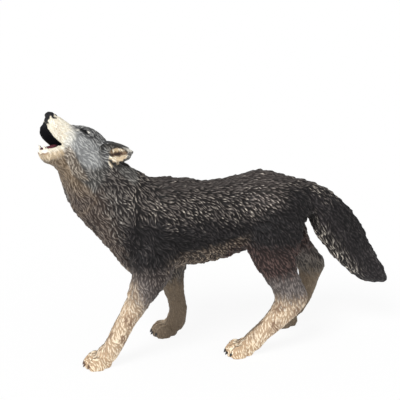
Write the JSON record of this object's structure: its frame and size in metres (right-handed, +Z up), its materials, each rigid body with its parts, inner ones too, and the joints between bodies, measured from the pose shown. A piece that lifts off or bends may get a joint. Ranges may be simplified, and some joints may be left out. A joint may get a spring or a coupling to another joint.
{
  "type": "wolf figurine",
  "caption": "One-piece moulded figurine of a walking wolf that howls with its head thrown back; stands on its paws.",
  "frame": {"origin": "centre of the bounding box at the level of the flat soles, on the surface that the figurine stands on", "axes": "+Z up, the wolf faces -X, its left side is at -Y"},
  "size_m": [0.1244, 0.032, 0.0866],
  "materials": {
    "painted_plastic": "matte hand-painted, dark coat with pale dry-brushed hair tips, grey face, cream muzzle and lower legs"
  },
  "bodies": {
    "root": {"wolf_figurine": "painted_plastic"}
  },
  "joints": []
}
